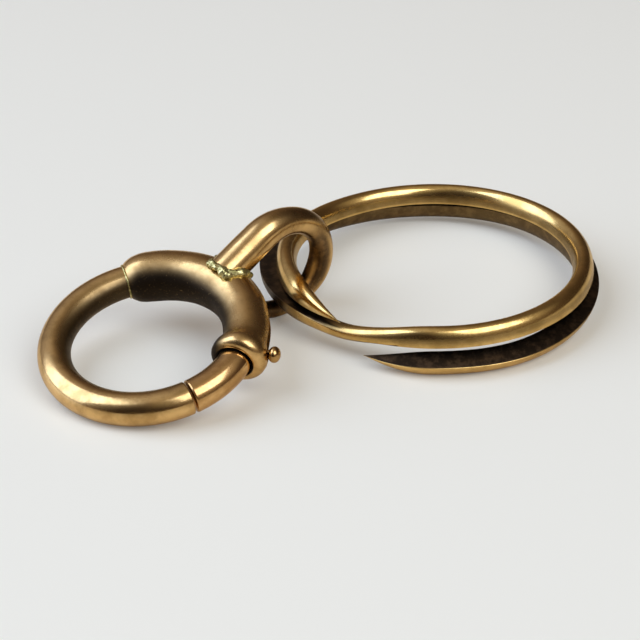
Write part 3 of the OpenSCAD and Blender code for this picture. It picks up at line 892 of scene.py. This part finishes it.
def add_mask(material, name, dark, darker, rough, strength=1.0):
    """Darkens a gold where a mark on the mesh says so, mottled between two dark colours."""
    tree = material.node_tree
    link = tree.links.new
    metal = tree.nodes["Principled BSDF"]
    old_colour = metal.inputs["Base Color"].links[0].from_socket
    old_rough = metal.inputs["Roughness"].links[0].from_socket
    mottle = add(tree, "ShaderNodeTexNoise", (-900, 900), Scale=1500.0, Detail=5.0,
                 Roughness=0.65)
    where = add(tree, "ShaderNodeTexCoord", (-1100, 900))
    link(where.outputs["Object"], mottle.inputs["Vector"])
    spread = add(tree, "ShaderNodeMapRange", (-700, 900), interpolation_type="SMOOTHSTEP")
    spread.inputs["From Min"].default_value, spread.inputs["From Max"].default_value = 0.42, 0.66
    link(mottle.outputs["Fac"], spread.inputs["Value"])
    tone = mix_colour(tree, spread.outputs["Result"], (*darker, 1), (*dark, 1), (-500, 900))
    amount = add(tree, "ShaderNodeMath", (-300, 800), operation="MULTIPLY", use_clamp=True)
    link(read_mask(tree, name, (-500, 1100)), amount.inputs[0])
    amount.inputs[1].default_value = strength
    colour = mix_colour(tree, amount.outputs[0], old_colour, tone, (-100, 500))
    link(colour, metal.inputs["Base Color"])
    duller = add(tree, "ShaderNodeMapRange", (-100, 700))
    link(amount.outputs[0], duller.inputs["Value"])
    link(old_rough, duller.inputs["To Min"])
    duller.inputs["To Max"].default_value = rough
    link(duller.outputs["Result"], metal.inputs["Roughness"])


split_gold = worn_gold("worn split ring gold", bright=(0.86, 0.61, 0.24),
                       dull=(0.60, 0.405, 0.14), rough=(0.15, 0.25), wave=0.2)
# The shade mark is painted shade and painted dark reflection on the split ring.
add_mask(split_gold, "shade", (0.15, 0.098, 0.048), (0.065, 0.042, 0.024), 0.4, 1.2)
add_mask(split_gold, "flat", (0.10, 0.068, 0.042), (0.036, 0.026, 0.018), 0.4)
# The inner mark is painted shade inside the bail's loop, a painted dark reflection on its top, and
# a dark low end.
add_mask(bail_gold, "inner", (0.24, 0.145, 0.065), (0.075, 0.048, 0.03), 0.3, 0.9)
# The bore mark is painted shade inside the tube.
add_mask(housing_gold, "bore", (0.02, 0.015, 0.012), (0.01, 0.008, 0.006), 0.5)
print("marks read: shade and flat, inner, bore")

# %% [markdown]
# ## Solder, steel, and putting the finishes on
# Solder gets a strong grain and a greener colour. The spring is hidden in the bore; it is drawn
# steel wire with a dull grey sheen.

# %% Put the finishes on
solder_pale = worn_gold("pale old solder", bright=(0.74, 0.68, 0.33), dull=(0.34, 0.31, 0.12),
                        rough=(0.22, 0.5), blotch=3500.0, scratch=0.2, wave=0.0, pits=1.0,
                        tarnish=(0.4, 0.62))
spring_steel = worn_gold("dull spring steel", bright=(0.45, 0.45, 0.46), dull=(0.25, 0.25, 0.26),
                         rough=(0.3, 0.45), blotch=1500.0)
wear = [
    (ring_arm, clasp_gold, "gold"), (housing, housing_gold, "gold"), (bolt, bolt_gold, "gold"),
    (knob, knob_gold, "gold"), (bail, bail_gold, "gold"), (spring, spring_steel, "spring_steel"),
    (bead, solder_pale, "solder"), (seam, solder_pale, "solder"),
    (split_ring, split_gold, "gold")]
for piece, finish, name in wear:
    piece.data.materials.clear()
    piece.data.materials.append(finish)
print("finishes on", len(wear), "pieces")

# %% [markdown]
# ## Table, light and camera
# Metal shows what is round it, so the surroundings matter as much as the finish. The camera sees
# a pale backdrop. Every other ray sees a dim warm room, paler overhead, with two dark places and
# two soft glows in it, and that is what the gold mirrors. Two large lamps, cooler than the room,
# give the bright highlights and the soft shadows. The table is pale to the camera, and warmer and
# darker to the rays that the gold sends down to it: a painted warm shade and golden bounce.

# %% The pale table
# TABLE_MIRRORED is painted warm shade and golden bounce, seen only by rays that are not the
# camera's.
TABLE_SEEN, TABLE_MIRRORED = (0.818, 0.82, 0.728, 1), (0.80, 0.69, 0.50, 1)
TABLE_LIFT, LIFT_COLOUR = 0.12, (1.0, 0.94, 0.86, 1)  # a faint glow, to the camera only
only()
bpy.ops.mesh.primitive_plane_add(size=3.0, location=(0, 0, 0))
table = bpy.context.object
table.name = "table"
paper = bpy.data.materials.new("pale table")
paper.use_nodes = True
tree = paper.node_tree
link = tree.links.new
gloss = tree.nodes["Principled BSDF"]
gloss.inputs["Roughness"].default_value = 0.3
gloss.inputs["Specular IOR Level"].default_value = 0.22
rays = add(tree, "ShaderNodeLightPath", (-500, -200))
cloth = mix_colour(tree, rays.outputs["Is Camera Ray"], TABLE_MIRRORED, TABLE_SEEN, (-300, 100))
link(cloth, gloss.inputs["Base Color"])
lift = add(tree, "ShaderNodeMath", (-300, -200), operation="MULTIPLY")
link(rays.outputs["Is Camera Ray"], lift.inputs[0])
lift.inputs[1].default_value = TABLE_LIFT
link(lift.outputs[0], gloss.inputs["Emission Strength"])
gloss.inputs["Emission Color"].default_value = LIFT_COLOUR
table.data.materials.append(paper)
only()
print("table", [round(x, 2) for x in table.dimensions], "m")

# %% The world's tree, and soft round places in it
world = bpy.data.worlds.new("studio")
bpy.context.scene.world = world
world.use_nodes = True
tree = world.node_tree
tree.nodes.clear()
link = tree.links.new
look = add(tree, "ShaderNodeTexCoord", (-1100, 0))
axes = add(tree, "ShaderNodeSeparateXYZ", (-900, 0))
link(look.outputs["Generated"], axes.inputs[0])


def towards(side, height):
    """The direction so many degrees to the right of the front and above the table."""
    a, e = radians(side), radians(height)
    return Vector((cos(e) * sin(a), -cos(e) * cos(a), sin(e)))


def spot(side, height, full, gone, place):
    """One inside the angle called full round a direction, falling softly to nought at gone."""
    dot = add(tree, "ShaderNodeVectorMath", place, operation="DOT_PRODUCT")
    link(look.outputs["Generated"], dot.inputs[0])
    dot.inputs[1].default_value = towards(side, height)
    span = add(tree, "ShaderNodeMapRange", (place[0] + 180, place[1]),
               interpolation_type="SMOOTHSTEP")
    span.inputs["From Min"].default_value = cos(radians(gone))
    span.inputs["From Max"].default_value = cos(radians(full))
    link(dot.outputs["Value"], span.inputs["Value"])
    return span.outputs["Result"]


print("world:", world.name)

# %% The backdrop for the camera and the room for every other ray
BACKDROP = (0.80, 0.795, 0.775, 1)
# How high one looks, from level to straight up, and the colour there; the ramp's ends first
BANDS = [
    (0.0, (0.135, 0.096, 0.066)), (1.0, (0.345, 0.29, 0.23)),
    (0.5, (0.165, 0.115, 0.084)), (0.85, (0.245, 0.19, 0.145))]
# Dark places multiply the room and glows add to it: direction, full and gone angles, colour
PLACES = [
    ("MULTIPLY", (-15, 26, 12, 50), (0.22, 0.20, 0.20)),
    ("MULTIPLY", (128, 20, 8, 60), (0.35, 0.33, 0.33)),
    ("ADD", (-100, 36, 10, 62), (0.25, 0.26, 0.29)),
    ("ADD", (46, 48, 10, 48), (0.27, 0.245, 0.19))]
walls = add(tree, "ShaderNodeValToRGB", (-700, 0))
walls.color_ramp.interpolation = "EASE"
for i, (height, colour) in enumerate(BANDS):
    step = walls.color_ramp.elements[i] if i < 2 else walls.color_ramp.elements.new(height)
    step.position = height
    step.color = (*colour, 1)
link(axes.outputs["Z"], walls.inputs["Fac"])
room_colour = walls.outputs["Color"]
for i, (how, where, colour) in enumerate(PLACES):
    room_colour = mix_colour(tree, spot(*where, (-900, -300 * (i + 1))), room_colour,
                             (*colour, 1), (-350 + 60 * i, -150 * i), how)
seen = add(tree, "ShaderNodeBackground", (-100, 100), Strength=1.0)
seen.inputs["Color"].default_value = BACKDROP
room = add(tree, "ShaderNodeBackground", (-100, -100), Strength=1.0)
link(room_colour, room.inputs["Color"])
rays = add(tree, "ShaderNodeLightPath", (-500, 400))
eye = add(tree, "ShaderNodeMixShader", (350, 50))
link(rays.outputs["Is Camera Ray"], eye.inputs[0])
link(room.outputs[0], eye.inputs[1])
link(seen.outputs[0], eye.inputs[2])
end = add(tree, "ShaderNodeOutputWorld", (550, 50))
link(eye.outputs[0], end.inputs[0])
print("room:", len(BANDS), "bands,", len(PLACES), "dark places and glows")

# %% Two soft lamps
LAMP_FAR, LAMP_AIM = 0.45, Vector((0, 0, 0.003))


def soft_light(name, where, size, power, colour):
    """A large lamp, so many degrees to the right and up, turned to the clasp."""
    lamp = bpy.data.lights.new(name, "AREA")
    lamp.shape = "RECTANGLE"
    lamp.size, lamp.size_y = size
    lamp.energy = power
    lamp.color = colour
    holder = bpy.data.objects.new(name, lamp)
    bpy.context.collection.objects.link(holder)
    place = towards(*where) * LAMP_FAR
    holder.location = place
    holder.rotation_euler = (LAMP_AIM - place).to_track_quat("-Z", "Y").to_euler()
    print("lamp:", name, power, "W")


soft_light("left window", (-89, 36), (0.42, 0.56), 1.66, (0.80, 0.93, 1.22))
soft_light("lamp above the right hand", (44, 49), (0.30, 0.33), 0.85, (0.92, 0.97, 1.1))

# %% The camera
EYE_AT, EYE_TILT = Vector((-0.540, -116.952, 69.963)), 59  # no tilt looks straight down
camera = bpy.data.cameras.new("camera")
camera.lens = 112.5
camera.sensor_width = 36
camera.shift_y = -1 / 640
camera.clip_start = 0.01
viewer = bpy.data.objects.new("camera", camera)
bpy.context.collection.objects.link(viewer)
viewer.location = EYE_AT * MM
viewer.rotation_euler = (radians(EYE_TILT), 0, 0)
bpy.context.scene.camera = viewer
bpy.context.scene.view_settings.view_transform = "Standard"
print("camera:", camera.lens, "mm lens, tilted", EYE_TILT, "degrees")
